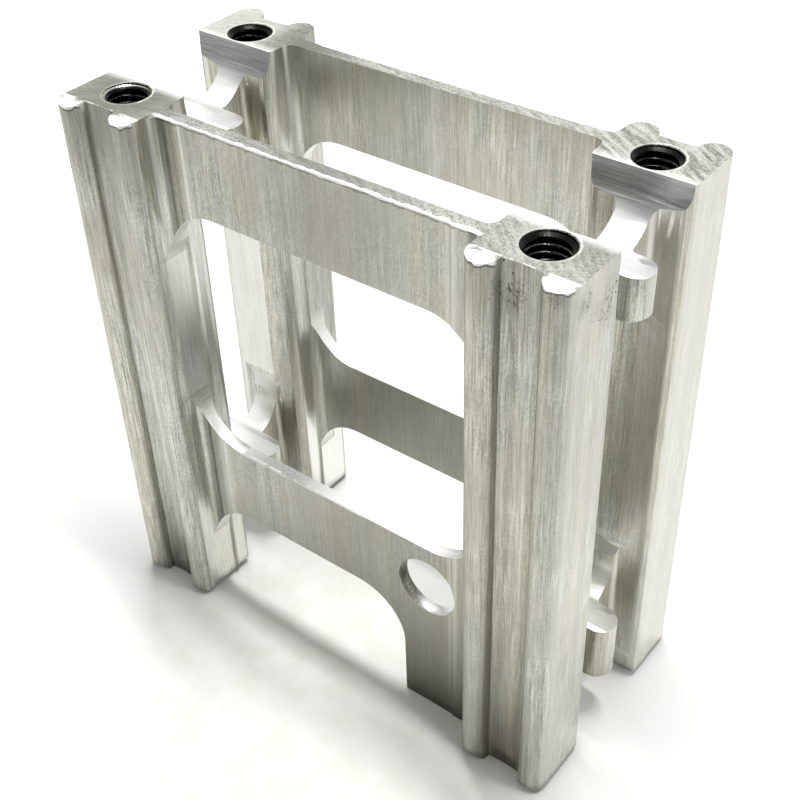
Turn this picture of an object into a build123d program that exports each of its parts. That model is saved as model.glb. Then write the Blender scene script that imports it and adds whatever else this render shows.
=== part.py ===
from build123d import *
import os

os.makedirs("parts", exist_ok=True)

# Machined mounting block, cut from a hollow aluminium extrusion and then milled.
# Frame: X runs along the two long plates, Y across them, Z up along the extrusion.
# The origin is at the middle of the footprint, on the face the block stands on.
# All sizes in millimetres.

# --- overall size ---
half_length = 50.0        # end faces of the posts, along X
height = 108.5            # cut length of the extrusion

# --- extruded section, given for the quarter with X and Y positive ---
plate_inner = 15.3        # inner face of a long plate
plate_outer = 17.9        # outer face of a plate close to a post
plate_face = 17.7         # outer face of a plate over its middle
step_x = 26.6             # where the outer face steps from one to the other
step_run = 0.4
post_inner_x = 32.3       # side of a post that faces the middle of the block
post_inner_y = 9.3        # side of a post that faces the opposite post
slot_flare = 0.5          # the end slot widens by this towards the end face
rib_line = 21.3           # outer face of a post between its ribs
rib_radius = 2.7          # round ribs, one at each side of a post's outer face
recess_sag = 0.25         # hollow between the two ribs
neck_inner = 38.4         # end wall, inner face
neck_outer = 44.2         # end wall, outer face
tongue_half = 3.15        # half the thickness of the tongue across the end wall
tongue_inner = 31.5       # inner end of the tongue

plate_root_fillet = 2.0   # plate into the side of a post
rib_root_fillet = 1.8     # rib into the outer face of a plate
post_round = 2.4          # rounded corner of a post towards the middle
slot_round = 1.7          # rounded corner of a post at the end slot
neck_fillet = 1.3         # end wall into a post
tongue_fillet = 1.0       # end wall into the outer half of the tongue

# --- channels milled along X through both end walls ---
top_floor = 99.0          # top of the upper tongues
bottom_floor = 12.0       # underside of the lower tongues
channel_half = 10.5
channel_round = 9.0

# --- windows milled through the end walls ---
end_window_top = 91.8
end_window_bottom = 27.2
end_window_half = 9.65    # cuts lightly into the posts
end_window_round = 9.0
end_window_reach = 39.0   # the wider cut stops here, just inside the wall
sill_floor = 24.0         # top of the lower tongues
sill_half = 8.3
sill_round = 6.4

# --- windows milled through the long plates ---
window_half = 32.35       # the gap between the posts, and a touch into their sides
window_top = 91.8
bar_top = 41.0            # the middle bar lies between these two
bar_bottom = 24.0
window_round = 10.4
window_reach = 14.5       # the cutter stops here, just past the inner face of the plate
foot_edge = 15.9          # left edge of the wide right foot of the front plate

# --- holes ---
hole_x = 41.25            # tapped M8 holes in the tops of the posts
hole_y = 15.0
thread_radius = 4.0       # major radius of M8
rim_radius = 4.15         # light countersink at the mouth
tapped_depth = 20.0
drill_radius = 3.4        # tap drill, which runs on below the thread
drill_depth = 25.0
tip_length = 2.0          # point of the drill
side_hole_x = 21.3        # plain hole in the front plate
side_hole_z = 31.5
side_hole_radius = 6.2

# --- filed edges on the front, at the top ---
plate_file_run = 1.1      # along the front plate
plate_file_drop = 0.35
rib_file_run = 1.7        # on the four front ribs
rib_file_drop = 0.45

# --- filed edges round the feet of the posts ---
foot_file_run = 1.2
foot_file_rise = 1.6

over = 2.0                # how far a cutter overshoots a face


def corner(sketch, x, y):
    """The vertex of a sketch nearest to (x, y)."""
    return sketch.vertices().sort_by_distance((x, y))[0]


tongue_inner_centre = tongue_inner + tongue_half
tongue_outer_centre = half_length - tongue_half
corner_rib_x = half_length - rib_radius
inner_rib_x = post_inner_x + rib_radius
recess_middle = ((corner_rib_x + inner_rib_x) / 2, rib_line - recess_sag)
rib_tip = rib_line + rib_radius
post_width = half_length - post_inner_x
tip_down = (Align.CENTER, Align.CENTER, Align.MAX)

# outer face, run, drop, start along X, length along X
filed_edges = (
    (plate_outer, plate_file_run, plate_file_drop, -post_inner_x, 2 * post_inner_x),
    (rib_tip, rib_file_run, rib_file_drop, -half_length, post_width),
    (rib_tip, rib_file_run, rib_file_drop, post_inner_x, post_width),
)



def foot_bevel(side, face, inward):
    """What a file takes off the bottom edge of a face, drawn across that edge.

    The face is at side * face, and the metal lies beyond it (inward 1) or before it (inward -1).
    """
    return (
        (side * (face + inward * foot_file_run), 0),
        (side * face, foot_file_rise),
        (side * (face - inward * over), foot_file_rise),
        (side * (face - inward * over), -over),
        (side * (face + inward * foot_file_run), -over),
    )


# the extruded section: one quarter drawn, then mirrored twice
with BuildSketch() as section:
    with BuildLine():
        Polyline(
            (0, plate_inner),
            (post_inner_x, plate_inner),
            (post_inner_x, post_inner_y),
            (neck_inner, post_inner_y),
            (neck_inner, tongue_half),
            (tongue_inner_centre, tongue_half),
        )
        CenterArc((tongue_inner_centre, 0), tongue_half, 90, 90)
        Line((tongue_inner, 0), (half_length, 0))
        CenterArc((tongue_outer_centre, 0), tongue_half, 0, 90)
        Polyline(
            (tongue_outer_centre, tongue_half),
            (neck_outer, tongue_half),
            (neck_outer, post_inner_y),
            (half_length, post_inner_y + slot_flare),
            (half_length, rib_line),
        )
        CenterArc((corner_rib_x, rib_line), rib_radius, 0, 180)
        ThreePointArc(
            (corner_rib_x - rib_radius, rib_line),
            recess_middle,
            (inner_rib_x + rib_radius, rib_line),
        )
        CenterArc((inner_rib_x, rib_line), rib_radius, 0, 180)
        Polyline(
            (post_inner_x, rib_line),
            (post_inner_x, plate_outer),
            (step_x + step_run, plate_outer),
            (step_x, plate_face),
            (0, plate_face),
            (0, plate_inner),
        )
    make_face()
    fillet(corner(section, post_inner_x, plate_inner), plate_root_fillet)
    fillet(corner(section, post_inner_x, post_inner_y), post_round)
    fillet(corner(section, neck_inner, post_inner_y), neck_fillet)
    fillet(corner(section, neck_outer, post_inner_y), neck_fillet)
    fillet(corner(section, neck_outer, tongue_half), tongue_fillet)
    fillet(corner(section, half_length, post_inner_y + slot_flare), slot_round)
    fillet(corner(section, post_inner_x, plate_outer), rib_root_fillet)
    mirror(about=Plane.YZ)
    mirror(about=Plane.XZ)

# what the cutters leave open, seen along X through the end walls
with BuildSketch(Plane.YZ) as top_channel:
    with Locations((0, top_floor)):
        Rectangle(2 * channel_half, 2 * height, align=(Align.CENTER, Align.MIN))
    fillet(top_channel.vertices().group_by(Axis.Y)[0], channel_round)

with BuildSketch(Plane.YZ) as bottom_channel:
    with Locations((0, bottom_floor)):
        Rectangle(2 * channel_half, 2 * height, align=(Align.CENTER, Align.MAX))
    fillet(bottom_channel.vertices().group_by(Axis.Y)[-1], channel_round)

with BuildSketch(Plane.YZ) as end_window:
    with Locations((0, (end_window_top + end_window_bottom) / 2)):
        Rectangle(2 * end_window_half, end_window_top - end_window_bottom)
    fillet(end_window.vertices(), end_window_round)

# the same window, no wider than the gap between the posts
with BuildSketch(Plane.YZ) as inner_window:
    add(end_window.sketch_local)
    with Locations((0, height / 2)):
        Rectangle(2 * post_inner_y, height, mode=Mode.INTERSECT)

with BuildSketch(Plane.YZ) as sill:
    with Locations((0, sill_floor)):
        Rectangle(2 * sill_half, end_window_bottom, align=(Align.CENTER, Align.MIN))
    fillet(sill.vertices(), sill_round)

# what the cutters leave open, seen along Y through the long plates
with BuildSketch(Plane.XZ) as plate_window:
    with Locations((0, (window_top + bar_top) / 2)):
        Rectangle(2 * window_half, window_top - bar_top)
    fillet(plate_window.vertices(), window_round)

with BuildSketch(Plane.XZ) as front_arch:
    with Locations((-window_half, bar_bottom)):
        Rectangle(window_half + foot_edge, height, align=(Align.MIN, Align.MAX))
    fillet(front_arch.vertices().group_by(Axis.Y)[-1], window_round)

with BuildSketch(Plane.XZ) as back_arch:
    with Locations((0, bar_bottom)):
        Rectangle(2 * window_half, height, align=(Align.CENTER, Align.MAX))
    fillet(back_arch.vertices().group_by(Axis.Y)[-1], window_round)

side_cut = half_length + over - window_reach

with BuildPart() as mounting_block:
    add(section.sketch)
    extrude(amount=height)

    for profile in (top_channel, bottom_channel, inner_window, sill):
        extrude(profile.sketch, amount=half_length + over, both=True, mode=Mode.SUBTRACT)

    # the wider end windows, cut in from each end
    for end in (-1, 1):
        with BuildSketch(Plane.YZ.offset(end * end_window_reach)):
            add(end_window.sketch_local)
        extrude(amount=end * (half_length + over - end_window_reach), mode=Mode.SUBTRACT)

    # the long plates, cut in from the front (Y negative) and from the back
    for side, arch in ((-1, front_arch), (1, back_arch)):
        for profile in (plate_window, arch):
            with BuildSketch(Plane.XZ.offset(-side * window_reach)):
                add(profile.sketch_local)
            extrude(amount=-side * side_cut, mode=Mode.SUBTRACT)

    with BuildSketch(Plane.XZ.offset(window_reach)):
        with Locations((side_hole_x, side_hole_z)):
            Circle(side_hole_radius)
    extrude(amount=side_cut, mode=Mode.SUBTRACT)

    # tapped holes, with the tap drill running on below the thread
    with Locations(Plane.XY.offset(height)):
        with GridLocations(2 * hole_x, 2 * hole_y, 2, 2):
            CounterSinkHole(thread_radius, rim_radius, tapped_depth, 90)
            Hole(drill_radius, drill_depth)
    with Locations(Plane.XY.offset(height - drill_depth)):
        with GridLocations(2 * hole_x, 2 * hole_y, 2, 2):
            Cone(0, drill_radius, tip_length, align=tip_down, mode=Mode.SUBTRACT)

    # edges broken with a file: the front plate between the posts, and the ends of the ribs
    for depth, run, drop, start, length in filed_edges:
        with BuildSketch(Plane.YZ.offset(start)) as bevel:
            with BuildLine():
                Polyline(
                    (run - depth, height),
                    (-depth, height - drop),
                    (-depth - over, height - drop),
                    (-depth - over, height + over),
                    (run - depth, height + over),
                    close=True,
                )
            make_face()
        extrude(amount=length, mode=Mode.SUBTRACT)

    # the feet, filed all round but not in the hollows, nor where the front plate runs on to the floor
    for side in (-1, 1):
        for end in (-1, 1):
            for face, inward in ((rib_tip, -1), (channel_half, 1)):
                with BuildSketch(Plane.YZ.offset(end * post_inner_x)):
                    with BuildLine():
                        Polyline(*foot_bevel(side, face, inward), close=True)
                    make_face()
                extrude(amount=end * (post_width + over), mode=Mode.SUBTRACT)

            wide_foot = side == -1 and end == 1
            for face, inward in ((half_length, -1),) if wide_foot else ((half_length, -1), (post_inner_x, 1)):
                with BuildSketch(Plane.XZ.offset(-side * post_inner_y)):
                    with BuildLine():
                        Polyline(*foot_bevel(end, face, inward), close=True)
                    make_face()
                extrude(amount=-side * (rib_tip + over - post_inner_y), mode=Mode.SUBTRACT)

mounting_block.part.label = "mounting_block"
export_step(mounting_block.part, "parts/mounting_block.step")
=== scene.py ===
"""Looks for the machined mounting block: one piece of aluminium, extruded, milled and tapped."""

import math
from types import SimpleNamespace

import bpy
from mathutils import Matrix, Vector, noise


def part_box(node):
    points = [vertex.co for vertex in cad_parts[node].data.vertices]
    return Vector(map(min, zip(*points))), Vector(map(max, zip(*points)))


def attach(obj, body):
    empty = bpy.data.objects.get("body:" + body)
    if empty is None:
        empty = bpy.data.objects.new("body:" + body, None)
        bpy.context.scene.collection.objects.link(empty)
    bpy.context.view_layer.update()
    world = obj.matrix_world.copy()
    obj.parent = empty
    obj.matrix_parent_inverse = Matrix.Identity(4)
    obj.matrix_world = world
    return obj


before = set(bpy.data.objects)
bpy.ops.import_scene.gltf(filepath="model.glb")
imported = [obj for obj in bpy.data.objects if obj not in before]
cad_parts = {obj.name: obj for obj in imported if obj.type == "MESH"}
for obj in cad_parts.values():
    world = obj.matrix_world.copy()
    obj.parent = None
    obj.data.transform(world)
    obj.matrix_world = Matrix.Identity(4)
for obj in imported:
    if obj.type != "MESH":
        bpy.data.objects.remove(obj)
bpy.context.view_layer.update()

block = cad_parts["mounting_block"]
block_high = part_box("mounting_block")[1]

MM = 0.001
TOP = block_high[2] / MM

# --- places on the block, in millimetres, as in part.py ---
HALF_LENGTH = 50.0         # end faces of the posts, along X
PLATE_INNER = 15.3         # inner face of a long plate
PLATE_FACE = 17.7          # its outer face, over its middle
PLATE_OUTER = 17.9         # the same face, close to a post
STEP_X = 26.6              # where the one steps to the other
STEP_RUN = 0.4
WINDOW_HALF = 32.32        # the straight sides of the window and the arch
BAR_TOP = 41.0             # the middle bar lies between these two
BAR_BOTTOM = 24.0
RIB_X = (35.0, 47.3)       # the middle of each rib
RIB_TIP = 24.3             # just past the tips of the ribs
RIB_FILED_DROP = 0.45
HOLLOW_X = 41.15           # the hollow between the two ribs
CHANNEL_HALF = 10.5        # the channels over and under the end walls
CHANNEL_FLOOR = 99.0       # top of the upper tongues
TONGUE_INNER = 31.5        # inner end of a tongue
END_WINDOW_HALF = 9.65
SLOT_MIDDLE = 7.0          # the slots beside the outer end of a tongue
HOLE_X = 41.25             # the tapped holes
HOLE_Y = 15.0
THREAD_RADIUS = 4.0
THREAD_MINOR = 3.32
THREAD_PITCH = 1.25
THREAD_DEPTH = 20.0
RIM_RADIUS = 4.15
SIDE_HOLE_X = 21.3         # the plain hole
SIDE_HOLE_Z = 31.5
SIDE_HOLE_RADIUS = 6.2

# --- patches on the block: where, how far they spread, how strong they are ---
# grime rubbed in by hand or left by the saw
GRIME = (
    ((39.5, -21.0, 103.5), 8.5, 1.0),
    ((50.0, -14.0, 102.0), 6.5, 1.2),
    ((50.0, -20.0, 105.0), 3.5, 1.0),
    ((50.0, -11.0, 12.0), 6.0, 0.9),
    ((33.0, -21.5, 60.0), 9.0, 0.5),
    ((-33.5, -18.5, 101.0), 8.0, 0.5),
    ((-44.0, -21.0, 3.0), 9.0, 0.7),
    ((42.0, -24.0, 8.0), 12.0, 0.5),
    ((50.0, -16.0, 20.0), 12.0, 0.4),
    ((34.5, -24.0, 107.4), 2.6, 1.2),
    ((47.2, -24.0, 107.2), 3.0, 1.2),
    ((38.5, -21.2, 107.8), 4.0, 0.9),
)
# where the metal is dull, and painted shade: the spots low on the front plate and on the back plate's bar
# darken them for the shaded floor they reflect
DULL_AND_SHADE = (
    ((-41.0, -14.0, 108.5), 22.0, 1.25),
    ((-29.0, 18.0, 108.5), 15.0, 1.2),
    ((46.0, -12.0, 108.5), 10.0, 0.7),
    ((3.0, -17.8, 99.0), 28.0, 1.1),
    ((14.0, -17.8, 28.0), 48.0, 1.15),
    ((0.0, 15.3, 32.0), 48.0, 1.4),
    ((48.5, -24.0, 85.0), 45.0, 0.35),
)

# --- colours of the extruded skin, and of the light and shade painted on it ---
SKIN_DARK = (0.31, 0.313, 0.275, 1)
SKIN_LIGHT = (0.745, 0.75, 0.68, 1)
PLATE_DARK = (0.31, 0.313, 0.277, 1)
PLATE_LIGHT = (0.66, 0.665, 0.60, 1)
STAIN = (0.49, 0.465, 0.39, 1)
DIE_LINE_LIGHT = (0.86, 0.86, 0.80, 1)
DIE_LINE_DARK = (0.14, 0.138, 0.11, 1)
COOL_TINT = (0.97, 0.985, 1.0, 1)
WARM_TINT = (1.0, 0.985, 0.945, 1)
DULL_AND_SHADED_METAL = (0.26, 0.26, 0.23, 1)
END_FACE_LIT = (0.78, 0.785, 0.725, 1)
SLOT_SIDE_LIT = (0.86, 0.865, 0.82, 1)
WINDOW_SIDE_LIT = (0.86, 0.865, 0.84, 1)
WINDOW_SIDE_SHADED = (0.28, 0.292, 0.295, 1)
ARCH_SIDE_LIT = (0.90, 0.905, 0.86, 1)
CREASE_SHADE = (0.10, 0.105, 0.08, 1)
STEP_HIGHLIGHT = (0.84, 0.84, 0.77, 1)
PLATE_FOOT_SHADE = (0.11, 0.11, 0.095, 1)

# --- colours of the cut and filed metal, and of the shadow painted under a burr ---
WALL = (0.66, 0.665, 0.62, 1)
MILLED_WALL = (0.235, 0.245, 0.24, 1)
WALL_MARK = (0.78, 0.78, 0.78, 1)
FRESH_DARK = (0.88, 0.88, 0.885, 1)
FRESH_LIGHT = (0.98, 0.98, 0.98, 1)
FACED_LIGHT = (0.58, 0.588, 0.552, 1)
FACED_DARK = (0.195, 0.20, 0.182, 1)
FACED_DULL = (0.185, 0.19, 0.168, 1)
FACED_BRIGHT = (0.71, 0.717, 0.68, 1)
SILL = (0.40, 0.405, 0.395, 1)
SIDE_HOLE_SHADE = (0.15, 0.14, 0.11, 1)
FILED = (0.93, 0.93, 0.91, 1)
BURR_SHADOW = (0.08, 0.08, 0.065, 1)
TORN_DARK = (0.60, 0.60, 0.58, 1)
TORN_LIGHT = (0.93, 0.93, 0.92, 1)

# --- colours of the dirt and the painted shade at the feet, and of the light and shade painted in the holes ---
DIRT_AND_SHADE = (0.07, 0.066, 0.055, 1)
RIM_HIGHLIGHT = (0.86, 0.86, 0.78, 1)
MOUTH_SHADE = (0.03, 0.03, 0.026, 1)
MOUTH_HIGHLIGHT = (0.50, 0.50, 0.44, 1)
BORE_SHADE = (0.012, 0.012, 0.011, 1)
THREAD_SHADE = (0.010, 0.010, 0.009, 1)
THREAD_CREST_GLINT = (0.15, 0.15, 0.145, 1)
THREAD_MOUTH_PALE = (0.40, 0.40, 0.36, 1)

# --- the studio ---
WHITE = (1.0, 1.0, 1.0, 1)
DUST_DARK = (0.865, 0.867, 0.82, 1)
DUST_LIGHT = (0.92, 0.92, 0.895, 1)
DUST_MIDDLE = (5.0, -26.0, 0.0)       # millimetres
ROOM_LIGHT = (1.0, 0.99, 0.965, 1)
AMBIENT = 0.36                        # the room's light on matt surfaces
ROOM_BRIGHT = 1.08                    # what shines in the metal: the room's bright side
ROOM_DARK = 0.38                      # and its dark side
DARK_SIDE = (0.58, -0.76, 0.30)       # which way that is: in front of the block, to its right
LAMP_AIM = (0, 0, 0.05)               # metres
CAMERA_PLACE = (0.11844, -0.14419, 0.20156)
CAMERA_TURN = (51.40, 1.566, 37.57)   # degrees


# ---------------------------------------------------------------- node helpers

class Nodes:
    """A node tree, with short calls that each add a node and return its output socket."""

    def __init__(self, tree):
        self.tree = tree

    def node(self, kind, **settings):
        node = self.tree.nodes.new("ShaderNode" + kind)
        for name, value in settings.items():
            setattr(node, name, value)
        return node

    def feed(self, socket, value):
        if isinstance(value, bpy.types.NodeSocket):
            self.tree.links.new(value, socket)
        else:
            socket.default_value = value

    def math(self, operation, a, b=0.0, clamp=False):
        node = self.node("Math", operation=operation, use_clamp=clamp)
        for socket, value in zip(node.inputs, (a, b)):
            self.feed(socket, value)
        return node.outputs[0]

    def chain(self, operation, values):
        result = values[0]
        for value in values[1:]:
            result = self.math(operation, result, value)
        return result

    def times(self, *values):
        return self.chain("MULTIPLY", values)

    def plus(self, *values):
        return self.chain("ADD", values)

    def most(self, *values):
        return self.chain("MAXIMUM", values)

    def mixture(self, *parts):
        """The sum of some values, each times its share."""
        return self.plus(*[self.times(value, share) for value, share in parts])

    def absolute(self, a):
        return self.math("ABSOLUTE", a)

    def squared(self, a):
        return self.math("MULTIPLY", a, a)

    def inverse(self, a):
        return self.math("SUBTRACT", 1.0, a)

    def length(self, a, b):
        """How long a flat arrow is that goes a one way and b the other."""
        return self.math("SQRT", self.plus(self.squared(a), self.squared(b)))

    def fade(self, value, start, end, low=0.0, high=1.0):
        """low where value is at start, high where it is at end, smooth between."""
        node = self.node("MapRange", interpolation_type="SMOOTHSTEP")
        for socket, given in zip(node.inputs, (value, start, end, low, high)):
            self.feed(socket, given)
        return node.outputs[0]

    def near(self, value, target, reach):
        """1 where value is at target, 0 from reach on."""
        return self.fade(self.absolute(self.plus(value, -target)), reach, 0.5 * reach)

    def blend(self, factor, a, b, mode="MIX"):
        node = self.node("Mix", data_type="RGBA", blend_type=mode)
        self.feed(node.inputs[0], factor)
        self.feed(node.inputs[6], a)
        self.feed(node.inputs[7], b)
        return node.outputs[2]

    def split(self, vector):
        node = self.node("SeparateXYZ")
        self.feed(node.inputs[0], vector)
        return node.outputs[:]

    def join(self, x, y, z):
        node = self.node("CombineXYZ")
        for socket, value in zip(node.inputs, (x, y, z)):
            self.feed(socket, value)
        return node.outputs[0]

    def vector_math(self, operation, a, b):
        node = self.node("VectorMath", operation=operation)
        self.feed(node.inputs[0], a)
        self.feed(node.inputs[1], b)
        return node.outputs

    def scaled(self, vector, x, y, z):
        return self.vector_math("MULTIPLY", vector, (x, y, z))[0]

    def distance(self, vector, centre):
        return self.vector_math("DISTANCE", vector, centre)["Value"]

    def millimetres(self):
        """The place on the object, in millimetres."""
        return self.scaled(self.node("TexCoord").outputs["Object"], 1 / MM, 1 / MM, 1 / MM)

    def noise(self, vector, scale=1.0, detail=2.0, roughness=0.5):
        node = self.node("TexNoise")
        self.feed(node.inputs["Vector"], vector)
        self.feed(node.inputs["Scale"], scale)
        self.feed(node.inputs["Detail"], detail)
        self.feed(node.inputs["Roughness"], roughness)
        return node.outputs[0]

    def pattern(self, place, x, y, z, detail, roughness=0.5):
        """Noise with about x, y and z grains to the millimetre, so it is drawn out along the smallest."""
        return self.noise(self.scaled(place, x, y, z), detail=detail, roughness=roughness)

    def spots(self, place, patches):
        """Soft patches: their strength at their middle, 0 outside."""
        return self.most(*[self.fade(self.distance(place, centre), size, 0.0, 0.0, strength)
                           for centre, size, strength in patches])

    def specks(self, vector, scale, rarity, size):
        """Round spots of mixed size: 1 inside a spot, 0 outside, fewer as rarity nears 1."""
        node = self.node("TexVoronoi")
        self.feed(node.inputs["Vector"], vector)
        self.feed(node.inputs["Scale"], scale)
        chance = self.split(node.outputs["Color"])[0]
        radius = self.times(self.math("SUBTRACT", chance, rarity), 9.0 * size)
        radius = self.math("MINIMUM", radius, size)
        return self.times(self.math("SUBTRACT", radius, node.outputs["Distance"], clamp=True), 12.0)

    def bump(self, height, distance):
        node = self.node("Bump")
        self.feed(node.inputs["Distance"], distance)
        self.feed(node.inputs["Height"], height)
        return node.outputs[0]


class Shader(Nodes):
    """A material with one Principled surface."""

    def __init__(self, name):
        self.material = bpy.data.materials.new(name)
        self.material.use_nodes = True
        super().__init__(self.material.node_tree)
        self.sockets = self.tree.nodes["Principled BSDF"].inputs

    def set(self, **values):
        for name, value in values.items():
            self.feed(self.sockets[name.replace("_", " ")], value)
        return self.material


# ---------------------------------------------------------------- the block's metal

def survey(s):
    """Where a point of the block is, and masks that are 1 on one kind of face and 0 elsewhere."""
    at = SimpleNamespace(place=s.millimetres())
    at.x, at.y, at.z = s.split(at.place)
    at.nx, ny, at.nz = s.split(s.node("NewGeometry").outputs["True Normal"])
    at.out_x, at.out_y = s.absolute(at.x), s.absolute(at.y)
    at.level = s.absolute(at.nz)
    at.along_x = s.fade(s.absolute(ny), 0.8, 0.95)
    at.along_y = s.fade(s.absolute(at.nx), 0.8, 0.95)

    channel = s.times(s.fade(at.out_y, CHANNEL_HALF + 0.05, CHANNEL_HALF + 0.02),
                      s.fade(at.out_x, TONGUE_INNER - 0.5, TONGUE_INNER - 0.2),
                      s.fade(at.z, CHANNEL_FLOOR - 0.1, CHANNEL_FLOOR))
    at.milled = s.times(channel, s.most(s.fade(at.level, 0.01, 0.04), s.near(at.out_y, CHANNEL_HALF, 0.05)))
    at.cut = s.most(s.fade(at.level, 0.02, 0.40), at.milled)
    at.skin = s.inverse(at.cut)
    at.top_face = s.times(s.fade(at.nz, 0.94, 0.95), s.fade(at.z, TOP - 0.5, TOP - 0.4))
    at.front_plate = s.times(s.fade(at.y, -PLATE_FACE + 0.3, -PLATE_FACE + 0.1),
                             s.fade(at.out_x, 31.8, 31.2), at.skin)
    at.front_tip = s.fade(at.y, -22.0, -22.6)
    at.from_hole = s.length(s.plus(at.out_x, -HOLE_X), s.plus(at.out_y, -HOLE_Y))
    return at


def add_patterns(s, at):
    """Noises that more than one kind of face shares."""
    # die lines, which run the whole height of the extrusion
    at.bands = s.pattern(at.place, 0.32, 0.32, 0.004, detail=1.0)
    at.streaks = s.pattern(at.place, 1.3, 1.3, 0.010, detail=2.0, roughness=0.6)
    at.hairs = s.pattern(at.place, 4.2, 4.2, 0.15, detail=1.0, roughness=0.7)
    # the metal's own grain, and soft clouds
    at.grain = s.pattern(at.place, 3.8, 3.8, 1.8, detail=2.0, roughness=0.8)
    at.cloud = s.pattern(at.place, 0.45, 0.45, 0.20, detail=3.0, roughness=0.6)
    at.tone = s.mixture((at.bands, 0.12), (at.streaks, 0.18), (at.hairs, 0.32),
                        (at.grain, 0.27), (at.cloud, 0.11))
    at.dull = s.spots(at.place, DULL_AND_SHADE)
    # the cutter's marks: round a cut-out, along a channel, and in wide arcs over the top faces
    sweep = s.length(s.plus(at.x, 20.0), s.plus(at.y, 76.0))
    path = s.blend(at.along_x, s.scaled(at.place, 0.15, 5.0, 0.15), s.scaled(at.place, 5.0, 0.15, 0.15))
    path = s.blend(at.milled, path, s.scaled(at.place, 0.15, 5.0, 5.0))
    path = s.blend(at.top_face, path, s.join(s.times(sweep, 1.1), s.times(at.x, 0.12), s.times(at.y, 0.12)))
    at.marks = s.noise(path, detail=3.0, roughness=0.65)
    at.scuffs = s.pattern(at.place, 2.0, 2.8, 1.0, detail=3.0, roughness=0.8)


def extruded_skin(s, at):
    """The skin the die left: fine lines over the whole height, stains, and a slight change of tint."""
    metal = s.blend(s.fade(at.tone, 0.37, 0.63), SKIN_DARK, SKIN_LIGHT)
    calm = s.mixture((s.pattern(at.place, 5.0, 5.0, 1.6, detail=2.0, roughness=0.8), 0.7),
                     (at.streaks, 0.18), (at.bands, 0.12))
    calm = s.blend(s.fade(calm, 0.36, 0.64), PLATE_DARK, PLATE_LIGHT)
    metal = s.blend(s.times(at.front_plate, 0.55), metal, calm)
    stain = s.pattern(at.place, 0.07, 0.07, 0.05, detail=2.0, roughness=0.6)
    metal = s.blend(s.fade(stain, 0.40, 0.60, 0.0, 0.5), metal, STAIN)
    metal = s.blend(s.fade(at.streaks, 0.70, 0.76, 0.0, 0.4), metal, DIE_LINE_LIGHT)
    metal = s.blend(s.fade(at.streaks, 0.27, 0.23, 0.0, 0.4), metal, DIE_LINE_DARK)
    tint = s.fade(s.pattern(at.place, 0.22, 0.22, 0.008, detail=1.0), 0.38, 0.62)
    return s.blend(1.0, metal, s.blend(tint, COOL_TINT, WARM_TINT), mode="MULTIPLY")


def shade_sides(s, at, metal):
    """How upright faces differ, much of it painted light and shade: end faces, the inside, the sides of the
    cut-outs, the plate by a post.
    """
    # painted light: the end faces, more so towards the back, and the inside faces are painted lighter
    inside = s.times(s.fade(at.out_y, 16.0, 15.5), s.fade(at.out_x, 33.0, 32.6))
    end_face = s.times(at.along_y, s.fade(at.out_x, HALF_LENGTH - 1.0, HALF_LENGTH - 0.5),
                       s.fade(at.y, -5.0, 5.0, 0.30, 0.55))
    metal = s.blend(s.most(s.times(inside, 0.22), end_face), metal, END_FACE_LIT)
    # painted light: the slot's side, lighter towards the top, and the end window's far side on the left post
    slot = s.times(s.fade(at.x, 43.5, 44.5), s.fade(s.absolute(s.plus(at.out_y, -SLOT_MIDDLE)), 3.1, 2.8),
                   s.fade(at.z, 60.0, 95.0, 0.35, 1.0), 0.5)
    far_side = s.times(at.along_x, s.near(at.out_y, END_WINDOW_HALF, 0.1), s.fade(at.x, 0.0, -1.0), 0.7)
    metal = s.blend(s.most(slot, far_side), metal, SLOT_SIDE_LIT)
    # the window's side: painted light near its top, painted shade lower down
    window_side = s.times(at.along_y, s.near(at.x, -WINDOW_HALF, 0.7), s.fade(at.y, -20.4, -19.4),
                          s.fade(at.y, -16.0, -12.0, 0.65, 0.3),
                          s.fade(at.z, BAR_TOP + 1.0, BAR_TOP + 5.0))
    metal = s.blend(window_side, metal, s.blend(s.fade(at.z, 74.0, 60.0), WINDOW_SIDE_LIT, WINDOW_SIDE_SHADED))
    # painted light on the lower window's side, under the bar
    arch_side = s.times(at.along_y, s.near(at.x, -WINDOW_HALF, 0.1),
                        s.fade(at.z, BAR_BOTTOM + 4.0, BAR_BOTTOM), s.fade(at.y, -20.0, 0.0, 0.55, 0.85))
    metal = s.blend(arch_side, metal, ARCH_SIDE_LIT)
    # dull metal, and painted shade low on the plates
    metal = s.blend(s.times(at.dull, s.inverse(arch_side), 0.55), metal, DULL_AND_SHADED_METAL)
    # next to a post the plate has painted shade in its crease and a painted highlight on its step, and it is
    # painted darker towards the floor, for the shaded floor it reflects
    metal = s.blend(s.times(at.front_plate, s.near(at.out_x, 30.8, 1.3), 0.6), metal, CREASE_SHADE)
    metal = s.blend(s.times(at.front_plate, s.near(at.out_x, 26.9, 1.4), 0.30), metal, STEP_HIGHLIGHT)
    return s.blend(s.times(at.front_plate, s.fade(at.z, 34.0, 0.0, 0.0, 0.72)), metal, PLATE_FOOT_SHADE)


def cut_faces(s, at, metal):
    """Fresh bright metal with the cutter's marks, duller on the faces that stand upright; the near white of
    the level faces is partly a painted highlight, for the lamp they reflect.
    """
    wall = s.blend(at.milled, WALL, MILLED_WALL)
    wall = s.blend(s.fade(at.marks, 0.3, 0.7, 0.0, 0.30), wall, WALL_MARK)
    # cut metal, its near white on level faces partly a painted highlight
    fresh_and_lit = s.blend(s.fade(at.marks, 0.3, 0.7), FRESH_DARK, FRESH_LIGHT)
    return s.blend(at.cut, metal, s.blend(s.fade(at.level, 0.30, 0.85), wall, fresh_and_lit))


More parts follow.
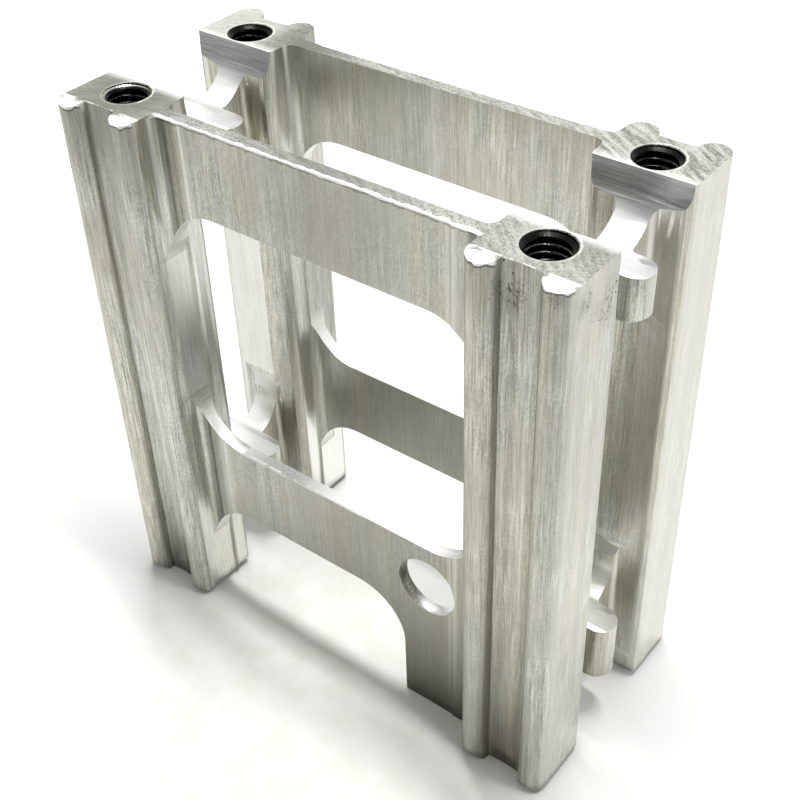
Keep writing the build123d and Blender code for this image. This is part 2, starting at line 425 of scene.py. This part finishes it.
def sawn_top(s, at, metal):
    """The top faces: the saw's arcs, strong at the back right, bright at the back left."""
    at_back = s.fade(at.y, 6.0, 12.0)
    turned = s.times(s.fade(at.x, 24.0, 30.0), at_back, s.plus(at.marks, -0.5), 0.22)
    facing = s.plus(s.mixture((at.scuffs, 0.45), (at.marks, 0.30), (at.grain, 0.25)), turned)
    faced = s.blend(s.fade(facing, 0.38, 0.64), FACED_LIGHT, FACED_DARK)
    faced = s.blend(s.times(at.dull, 0.75), faced, FACED_DULL)
    faced = s.blend(s.times(s.fade(at.x, -34.0, -40.0), at_back, 0.4), faced, FACED_BRIGHT)
    return s.blend(at.top_face, metal, faced)


def sill_and_side_hole(s, at, metal):
    """The scuffed sill of the front window, and the shaded wall of the plain hole."""
    sill = s.times(s.fade(at.nz, 0.8, 0.95), s.near(at.z, BAR_TOP, 0.6),
                   s.fade(at.y, -PLATE_INNER + 0.3, -PLATE_INNER),
                   s.fade(s.absolute(s.plus(at.x, 13.0)), 15.0, 2.0))
    metal = s.blend(s.times(sill, s.fade(at.scuffs, 0.25, 0.55, 0.3, 0.85)), metal, SILL)
    wall = s.length(s.plus(at.x, -SIDE_HOLE_X), s.plus(at.z, -SIDE_HOLE_Z))
    wall = s.times(s.near(wall, SIDE_HOLE_RADIUS, 0.15),
                   s.fade(at.y, -PLATE_INNER + 0.3, -PLATE_INNER - 0.2))
    shade = s.times(wall, s.fade(at.nx, -0.2, 0.8), s.fade(at.scuffs, 0.3, 0.6, 0.5, 1.0), 0.8)
    return s.blend(shade, metal, SIDE_HOLE_SHADE)


def filed_edges(s, at, metal):
    """White metal with a ragged edge, where the file went and where the cutter left a burr."""
    ragged = s.pattern(at.place, 0.55, 0.55, 0.0, detail=1.0)
    sloping = s.fade(at.nz, 0.995, 0.985)
    # the ends of the front ribs, and a little way onto the top face behind them
    lip = s.plus(at.z, -TOP + RIB_FILED_DROP, s.fade(ragged, 0.30, 0.70, -0.22, 0.42))
    to_rib = s.math("MINIMUM", *[s.absolute(s.plus(at.out_x, -rib_x)) for rib_x in RIB_X])
    from_tip = s.math("SQRT", s.plus(s.times(to_rib, to_rib, 0.6), s.squared(s.plus(at.y, RIB_TIP))))
    onto_top = s.fade(s.plus(from_tip, s.times(s.plus(at.grain, at.cloud), 1.3)), 4.3, 3.5)
    filed = s.times(s.most(s.times(at.front_tip, sloping), s.times(at.top_face, onto_top)),
                    s.fade(lip, -0.05, 0.05))
    filed = s.most(filed, s.times(at.top_face, s.fade(at.y, -20.75, -20.95),
                                  s.fade(at.cloud, 0.42, 0.58), 0.8))
    # along the front plate
    inner_edge = s.plus(at.y, PLATE_OUTER, s.fade(ragged, 0.3, 0.7, -0.3, 0.0))
    at.filed = s.most(filed, s.times(s.near(at.y, -PLATE_OUTER, 1.2), s.fade(inner_edge, 0.45, 0.40),
                                     s.fade(at.nz, 0.5, 0.8), sloping, s.fade(at.z, TOP - 0.6, TOP - 0.5)))
    # beside the channel
    at.burr = s.times(at.top_face, s.most(s.near(at.out_y, CHANNEL_HALF + 0.1, 0.3),
                                          s.fade(at.out_y, CHANNEL_HALF + 2.2, CHANNEL_HALF, 0.0, 0.6)))
    # painted shadow: a dark line under each ragged edge
    burr_shadow = s.times(at.skin, at.front_tip, s.near(lip, -0.16, 0.24))
    below = s.plus(at.z, -TOP + 0.70, s.fade(ragged, 0.3, 0.7, -0.15, 0.15))
    burr_shadow = s.most(burr_shadow, s.times(at.front_plate, s.near(below, 0.0, 0.25), 0.7))
    metal = s.blend(s.times(burr_shadow, 0.65), metal, BURR_SHADOW)
    return s.blend(s.most(at.filed, at.burr), metal, FILED)


def dirty(s, at, metal):
    """Pits, nicks, crumbs and a film of grime, and painted shade at the feet: on their undersides, near the
    floor, and low in the hollows between the ribs.
    """
    grime = s.spots(at.place, GRIME)
    thick = s.plus(s.fade(at.cloud, 0.45, 0.75, 0.0, 0.35), grime, s.times(at.top_face, 0.5))
    pits = s.specks(s.scaled(at.place, 1.0, 1.0, 0.8), 2.1, s.plus(0.992, s.times(thick, -0.15)), 0.36)
    nicks = s.specks(s.scaled(at.place, 1.5, 1.5, 0.30), 1.0, s.plus(0.991, s.times(grime, -0.09)), 0.17)
    crumbs = s.pattern(at.place, 2.4, 2.4, 1.5, detail=3.0, roughness=0.7)
    crumbs = s.times(s.fade(s.plus(crumbs, s.times(grime, 0.07)), 0.64, 0.69), s.fade(at.cloud, 0.40, 0.52))
    film = s.times(grime, s.fade(s.mixture((at.cloud, 0.4), (at.grain, 0.6)), 0.46, 0.62))
    at.dirt = s.times(s.most(pits, s.times(nicks, at.skin), s.times(crumbs, grime), s.times(film, 0.65)),
                      s.most(at.skin, s.times(at.top_face, 0.5)), s.inverse(at.filed))
    # painted shade: under the feet, close to the floor, and low between the ribs
    sole_shade = s.times(s.fade(at.nz, -0.2, -0.5), s.fade(at.z, 2.0, 1.7))
    hollow_shade = s.times(s.near(at.out_x, HOLLOW_X, 3.6), s.fade(at.y, -20.0, -21.0))
    foot_shade = s.most(sole_shade, s.times(s.fade(at.z, 3.4, 0.8), s.fade(at.cloud, 0.25, 0.55), 0.7),
                  s.times(hollow_shade, s.fade(s.plus(at.z, s.times(at.cloud, 6.0)), 9.0, 4.0), 0.9))
    return s.blend(s.times(s.most(at.dirt, foot_shade), 0.85), metal, DIRT_AND_SHADE)


def lit_rims_and_dark_bores(s, at, metal):
    """Each tapped hole's rim, with a painted highlight on its far side and painted shade on the near one,
    and its wall painted near black for the shade inside.
    """
    # painted highlight on the rim, strongest on its far side
    rim = s.times(s.near(s.plus(at.from_hole, s.times(at.scuffs, -0.5)), RIM_RADIUS - 0.1, 0.30),
                  s.fade(at.z, TOP - 0.3, TOP - 0.2), s.fade(at.scuffs, 0.35, 0.6))
    hole_y, hole_x = s.times(s.math("SIGN", at.y), -HOLE_Y), s.times(s.math("SIGN", at.x), -HOLE_X)
    far = s.fade(s.mixture((s.plus(at.y, hole_y), 0.8), (s.plus(at.x, hole_x), 0.6)), 0.0, 2.5)
    metal = s.blend(s.times(rim, s.fade(far, 0.0, 1.0, 0.25, 0.8)), metal, RIM_HIGHLIGHT)
    # painted shade on the mouth's near side, painted highlight on its far side, broken by scuffs
    mouth = s.times(s.fade(at.from_hole, RIM_RADIUS + 0.05, RIM_RADIUS - 0.05),
                    s.fade(at.z, TOP - 3.0, TOP - 2.0))
    glint = s.times(far, s.fade(at.scuffs, 0.35, 0.6))
    metal = s.blend(mouth, metal, s.blend(glint, MOUTH_SHADE, MOUTH_HIGHLIGHT))
    # painted shade: the bore near black
    bore_shade = s.times(s.fade(at.from_hole, THREAD_RADIUS + 0.1, THREAD_RADIUS),
                   s.fade(at.z, TOP - 0.12, TOP - 0.2))
    return s.blend(bore_shade, metal, BORE_SHADE)


def bare_aluminium():
    """The extruded skin, and the milled, sawn, drilled and filed faces cut into it."""
    s = Shader("bare_aluminium")
    at = survey(s)
    add_patterns(s, at)
    metal = extruded_skin(s, at)
    for layer in (shade_sides, cut_faces, sawn_top, sill_and_side_hole, filed_edges, dirty, lit_rims_and_dark_bores):
        metal = layer(s, at, metal)

    rough = s.plus(s.fade(at.tone, 0.6, 0.4, 0.32, 0.42), s.times(at.dirt, 0.3), s.times(at.top_face, 0.05),
                   s.times(at.top_face, s.inverse(s.most(at.filed, at.burr)), 0.25))
    relief = s.blend(at.cut, s.mixture((at.streaks, 0.5), (at.hairs, 0.5)), s.times(at.marks, 0.5))
    relief = s.plus(relief, s.times(at.top_face, at.marks))
    return s.set(Base_Color=metal, Metallic=1.0, Roughness=rough, Normal=s.bump(relief, 0.04 * MM))


# ---------------------------------------------------------------- the other materials

def thread_metal():
    """The thread: painted nearly black in its roots for the shade in the hole, with a painted glint on its
    crests.
    """
    s = Shader("thread_metal")
    place = s.millimetres()
    x, y, z = s.split(place)
    radius = s.length(s.plus(s.absolute(x), -HOLE_X), s.plus(s.absolute(y), -HOLE_Y))
    oil = s.noise(place, scale=1.6, detail=2.0)
    # painted glint on the crests, below the first turn
    glint = s.times(s.fade(radius, 3.6, 3.36), s.fade(oil, 0.3, 0.6, 0.4, 1.0),
                   s.fade(z, TOP - 0.9, TOP - 1.3))
    colour = s.blend(glint, THREAD_SHADE, THREAD_CREST_GLINT)
    # the mouth of the front left hole is paler
    pale_mouth = s.times(s.fade(radius, 3.70, 3.78), s.fade(z, TOP - 0.7, TOP - 0.5),
                    s.fade(x, 0.0, -1.0), s.fade(y, 0.0, -1.0))
    colour = s.blend(pale_mouth, colour, THREAD_MOUTH_PALE)
    return s.set(Base_Color=colour, Metallic=1.0, Roughness=s.fade(oil, 0.3, 0.7, 0.24, 0.34),
                 Normal=s.bump(oil, 0.03 * MM))


def torn_metal():
    """The bright edge that the cutter turned over, only lightly filed."""
    s = Shader("torn_metal")
    torn = s.pattern(s.millimetres(), 0.9, 2.5, 2.5, detail=3.0, roughness=0.6)
    return s.set(Base_Color=s.blend(s.fade(torn, 0.3, 0.5), TORN_DARK, TORN_LIGHT), Metallic=1.0,
                 Roughness=s.fade(torn, 0.3, 0.7, 0.40, 0.28), Normal=s.bump(torn, 0.05 * MM))


def pale_floor():
    """A white sheet, faintly dusty round the block."""
    s = Shader("pale_floor")
    place = s.millimetres()
    dust = s.noise(place, scale=0.12, detail=5.0, roughness=0.65)
    colour = s.blend(s.fade(dust, 0.35, 0.60), DUST_DARK, DUST_LIGHT)
    away = s.distance(place, DUST_MIDDLE)
    colour = s.blend(s.fade(away, 28.0, 62.0), colour, WHITE)
    # far off, where the lamps no longer reach, it stays as white as the backdrop
    seen = s.node("LightPath").outputs["Is Camera Ray"]
    glow = s.times(s.fade(away, 160.0, 420.0), seen)
    return s.set(Base_Color=colour, Roughness=0.7, Emission_Color=WHITE, Emission_Strength=glow)


# ---------------------------------------------------------------- pieces

def plate_face(x):
    """How far out the front plate's face is, with its low step near each post."""
    near_post = min(1.0, max(0.0, (abs(x) - STEP_X) / STEP_RUN))
    return PLATE_FACE + near_post * (PLATE_OUTER - PLATE_FACE)


def strip(steps, row, flipped=False):
    """The faces between rows of points, each row points long, over some steps."""
    corners = (0, 1, row + 1, row) if flipped else (0, row, row + 1, 1)
    return [tuple(i * row + j + corner for corner in corners) for i in range(steps) for j in range(row - 1)]


def new_piece(name, points, faces, material, smooth=True):
    """A mesh piece, given in millimetres, that belongs to the block."""
    mesh = bpy.data.meshes.new(name)
    mesh.from_pydata([[c * MM for c in point] for point in points], [], faces)
    mesh.materials.append(material)
    mesh.polygons.foreach_set("use_smooth", [smooth] * len(faces))
    piece = bpy.data.objects.new(name, mesh)
    bpy.context.scene.collection.objects.link(piece)
    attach(piece, "root")


def thread_ridge(name, centre_x, centre_y, material):
    """The M8 thread left standing in a tapped hole, as one helical ridge."""
    steps = 48             # to a turn
    turns = THREAD_DEPTH / THREAD_PITCH
    buried = 0.05
    # half of the ridge's section: distance along the hole's axis, in pitches, and radius
    half = ((0.45, THREAD_RADIUS + buried), (0.4375, THREAD_RADIUS - 0.02), (0.125, THREAD_MINOR))
    section = [(-share * THREAD_PITCH, radius) for share, radius in half]
    section += [(share * THREAD_PITCH, radius) for share, radius in reversed(half)]
    points = []
    count = int(turns * steps)
    for i in range(count + 1):
        turn = 2 * math.pi * i / steps
        depth = 0.1 + i / steps * THREAD_PITCH
        fade_out = THREAD_MINOR + max(0.0, i / steps - turns + 1) * (THREAD_RADIUS - THREAD_MINOR)
        for along, radius in section:
            d = max(0.02, min(depth + along, THREAD_DEPTH))
            r = max(radius, fade_out, RIM_RADIUS - 1.1 * d) if radius < THREAD_RADIUS else radius
            points.append((centre_x + r * math.cos(turn), centre_y - r * math.sin(turn), TOP - d))
    row = len(section)
    faces = strip(count, row, flipped=True)
    for end in (0, count * row):
        faces.append(tuple(end + j for j in range(row)))
    new_piece(name, points, faces, material, smooth=False)


def turned_edge(name, x_from, x_to, height, run, drop, reach, material):
    """A ragged burr along X, lying on an edge of the front plate.

    height is the edge's, run and drop the slope it lies on, and reach how far its tongues hang
    down the face.
    """
    step = 0.2
    taper_steps = 8
    row = 6
    count = round((x_to - x_from) / step)
    points = []
    for i in range(count + 1):
        x = x_from + i * step
        taper = min(1.0, i / taper_steps, (count - i) / taper_steps)
        wave = noise.noise(Vector((0.27 * x, 7.3, height)))
        tooth = noise.noise(Vector((0.8 * x, 1.7, height)))
        hang = taper * reach * max(0.08, 0.5 + 0.9 * wave + 0.15 * tooth)
        lift = taper * (0.05 + 0.02 * tooth)
        y = -plate_face(x)
        points += [
            (x, y + run + 0.25 * wave, height - 0.002),
            (x, y + 0.6 * run, height - 0.4 * drop + 0.5 * lift),
            (x, y + 0.1, height - 0.9 * drop + lift),
            (x, y - lift, height - drop - 0.25 * hang),
            (x, y - 0.7 * lift, height - drop - hang),
            (x, y + 0.05, height - drop - hang),
        ]
    new_piece(name, points, strip(count, row), material)


def dress_block(material):
    """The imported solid, welded along its faces and with its sharp edges barely broken."""
    block.material_slots[0].material = material
    weld = block.modifiers.new("weld", "WELD")
    weld.merge_threshold = 1e-6
    edges = block.modifiers.new("edges", "BEVEL")
    edges.width = 0.12 * MM
    edges.segments = 2
    edges.limit_method = "ANGLE"
    edges.angle_limit = math.radians(35)
    edges.harden_normals = True


# ---------------------------------------------------------------- studio

def lamp(name, place, width, depth, power):
    """A soft box, width along X, that faces the block."""
    data = bpy.data.lights.new(name, "AREA")
    data.shape = "RECTANGLE"
    data.size = width
    data.size_y = depth
    data.energy = power
    thing = bpy.data.objects.new(name, data)
    bpy.context.scene.collection.objects.link(thing)
    thing.location = place
    thing.rotation_euler = (Vector(place) - Vector(LAMP_AIM)).to_track_quat("Z", "Y").to_euler()


def studio():
    """A white floor, a room that is bright behind the block, and two lamps."""
    bpy.ops.mesh.primitive_plane_add(size=6, location=(0, 0, 0))
    floor = bpy.context.object
    floor.name = "floor"
    floor.data.materials.append(pale_floor())

    world = bpy.data.worlds.new("studio")
    bpy.context.scene.world = world
    world.use_nodes = True
    n = Nodes(world.node_tree)
    # gloss shows the room's bright and dark sides, and the backdrop is its full white
    toward = n.vector_math("DOT_PRODUCT", n.node("TexCoord").outputs["Generated"],
                           Vector(DARK_SIDE).normalized())["Value"]
    room = n.fade(toward, 0.0, 0.85, ROOM_BRIGHT, ROOM_DARK)
    path = n.node("LightPath")
    shine = n.times(path.outputs["Is Glossy Ray"], n.plus(room, -AMBIENT))
    seen = n.times(path.outputs["Is Camera Ray"], 1.0 - AMBIENT)
    background = world.node_tree.nodes["Background"].inputs
    n.feed(background["Color"], ROOM_LIGHT)
    n.feed(background["Strength"], n.plus(shine, seen, AMBIENT))

    lamp("overhead", (0.03, 0.112, 1.2), 0.7, 0.05, 11.5)
    lamp("right", (1.2, 0.0, 0.6), 0.8, 0.8, 3)


def camera():
    """The camera, above the block's front right corner."""
    data = bpy.data.cameras.new("camera")
    data.lens = 58.35
    data.sensor_width = 36
    data.clip_start = 0.005
    eye = bpy.data.objects.new("camera", data)
    bpy.context.scene.collection.objects.link(eye)
    eye.location = CAMERA_PLACE
    eye.rotation_euler = [math.radians(angle) for angle in CAMERA_TURN]
    bpy.context.scene.camera = eye


camera()
studio()
bpy.context.scene.view_settings.view_transform = "Standard"

dress_block(bare_aluminium())
torn = torn_metal()
turned_edge("burr_plate", -31.0, 31.0, TOP - 0.2, run=0.45, drop=0.15, reach=0.32, material=torn)
turned_edge("burr_bar", -25.0, 8.0, BAR_TOP, run=0.5, drop=0.06, reach=0.5, material=torn)
thread_material = thread_metal()
for row, hole_y in (("front", -HOLE_Y), ("back", HOLE_Y)):
    for column, hole_x in (("left", -HOLE_X), ("right", HOLE_X)):
        thread_ridge("thread_" + row + "_" + column, hole_x, hole_y, thread_material)
